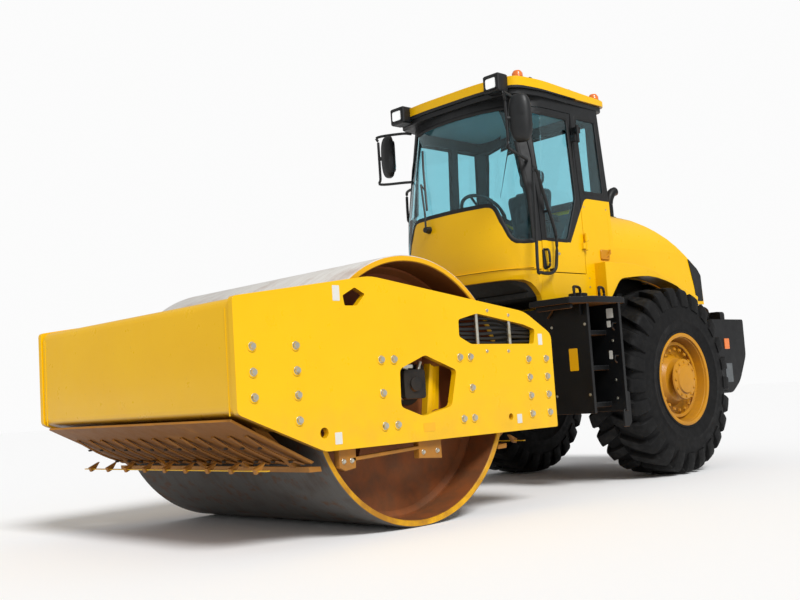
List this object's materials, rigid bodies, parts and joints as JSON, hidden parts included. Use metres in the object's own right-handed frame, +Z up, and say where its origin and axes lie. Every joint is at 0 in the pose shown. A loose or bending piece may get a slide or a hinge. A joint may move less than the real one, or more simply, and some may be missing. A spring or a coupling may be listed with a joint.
{
  "type": "single drum soil compaction roller",
  "caption": "Articulated road roller with one smooth steel drum in a yoke, an enclosed cab, a rear engine hood and two lugged drive tyres.",
  "frame": {"origin": "on the ground at the centre of the footprint, straight below the centre pivot", "axes": "+Y along the machine toward its rear, +X toward its left side, +Z up"},
  "size_m": [2.274, 5.91, 3.1881],
  "materials": {
    "yellow_paint": "gloss enamel",
    "ochre_paint": "satin enamel, dusty",
    "black_paint": "satin",
    "dark_casting": "rough",
    "drum_steel": "worn bare, lightly rusted",
    "chromed_rod": "polished",
    "tyre_rubber": "matt",
    "tinted_glass": "clear, blue-green tint",
    "seat_cloth": "woven"
  },
  "bodies": {
    "rear_frame": {"rear_chassis": "black_paint", "rear_axle": "black_paint", "step_box_left": "black_paint", "step_box_right": "black_paint", "cab_nose": "yellow_paint", "cab_side_left": "yellow_paint", "cab_side_right": "yellow_paint", "cab_back": "yellow_paint", "cab_frame": "black_paint", "windscreen": "tinted_glass", "rear_quarter_glass_left": "tinted_glass", "rear_quarter_glass_right": "tinted_glass", "side_glass_right": "tinted_glass", "back_glass": "tinted_glass", "roof_liner": "black_paint", "cab_roof": "yellow_paint", "cab_floor": "black_paint", "seat_base": "black_paint", "seat_cushion": "seat_cloth", "seat_back": "seat_cloth", "steering_console": "black_paint", "work_light_left": "black_paint", "work_light_right": "black_paint", "mirror_left": "black_paint", "mirror_right": "black_paint", "fender_left": "yellow_paint", "fender_right": "yellow_paint", "engine_block": "dark_casting", "counterweight": "black_paint"},
    "pivot_link": {"hinge_link": "dark_casting"},
    "front_frame": {"side_plate_left": "yellow_paint", "side_plate_right": "yellow_paint", "front_crossbeam": "yellow_paint", "rear_crossbeam": "yellow_paint", "front_scraper": "ochre_paint", "rear_scraper": "ochre_paint", "drum_mount_left": "ochre_paint", "drum_mount_right": "ochre_paint", "hub_motor": "dark_casting"},
    "drum": {"drum_shell": "drum_steel", "drum_head_left": "ochre_paint", "drum_head_right": "ochre_paint"},
    "wheel_left": {"tyre_left": "tyre_rubber", "rim_left": "ochre_paint"},
    "wheel_right": {"tyre_right": "tyre_rubber", "rim_right": "ochre_paint"},
    "door": {"cab_door": "yellow_paint", "door_glass": "tinted_glass", "door_rail": "black_paint"},
    "hood": {"engine_hood": "yellow_paint", "hood_grille": "black_paint", "exhaust_pipe": "black_paint"},
    "barrel_left": {"steer_barrel_left": "black_paint"},
    "barrel_right": {"steer_barrel_right": "black_paint"},
    "rod_left": {"steer_rod_left": "chromed_rod"},
    "rod_right": {"steer_rod_right": "chromed_rod"}
  },
  "joints": [
    {"name": "steer", "type": "hinge", "parent": "rear_frame", "child": "pivot_link", "pos_m": [0, 0, 0.83], "axis": [0, 0, 1], "range_deg": [-33, 33]},
    {"name": "frame_oscillation", "type": "hinge", "parent": "pivot_link", "child": "front_frame", "pos_m": [0, -0.36, 0.83], "axis": [0, 1, 0], "range_deg": [-10, 10]},
    {"name": "drum_spin", "type": "hinge", "parent": "front_frame", "child": "drum", "pos_m": [0, -1.6, 0.82], "axis": [1, 0, 0], "continuous": true},
    {"name": "wheel_left_spin", "type": "hinge", "parent": "rear_frame", "child": "wheel_left", "pos_m": [0.775, 1.55, 0.77], "axis": [1, 0, 0], "continuous": true},
    {"name": "wheel_right_spin", "type": "hinge", "parent": "rear_frame", "child": "wheel_right", "pos_m": [-0.775, 1.55, 0.77], "axis": [1, 0, 0], "continuous": true},
    {"name": "cab_door_hinge", "type": "hinge", "parent": "rear_frame", "child": "door", "pos_m": [0.732, 0.748, 2.3], "axis": [0, 0, 1], "range_deg": [0, 80]},
    {"name": "hood_tilt", "type": "hinge", "parent": "rear_frame", "child": "hood", "pos_m": [0, 2.595, 1.4], "axis": [-1, 0, 0], "range_deg": [0, 50]},
    {"name": "barrel_left_swing", "type": "hinge", "parent": "rear_frame", "child": "barrel_left", "pos_m": [0.28, 0.84, 0.79], "axis": [0, 0, 1], "range_deg": [-1, 1]},
    {"name": "barrel_right_swing", "type": "hinge", "parent": "rear_frame", "child": "barrel_right", "pos_m": [-0.28, 0.84, 0.79], "axis": [0, 0, 1], "range_deg": [-1, 1]},
    {"name": "rod_left_slide", "type": "slide", "parent": "barrel_left", "child": "rod_left", "axis": [0.0238, -0.9997, 0], "range_m": [-0.165, 0.165]},
    {"name": "rod_right_slide", "type": "slide", "parent": "barrel_right", "child": "rod_right", "axis": [-0.0238, -0.9997, 0], "range_m": [-0.165, 0.165]}
  ],
  "couplings": [
    {"joint": "barrel_left_swing", "follows": "steer", "ratio": -0.0118},
    {"joint": "barrel_right_swing", "follows": "steer", "ratio": -0.0118},
    {"joint": "rod_left_slide", "follows": "steer", "m_per_rad": -0.2835},
    {"joint": "rod_right_slide", "follows": "steer", "m_per_rad": 0.2835}
  ]
}
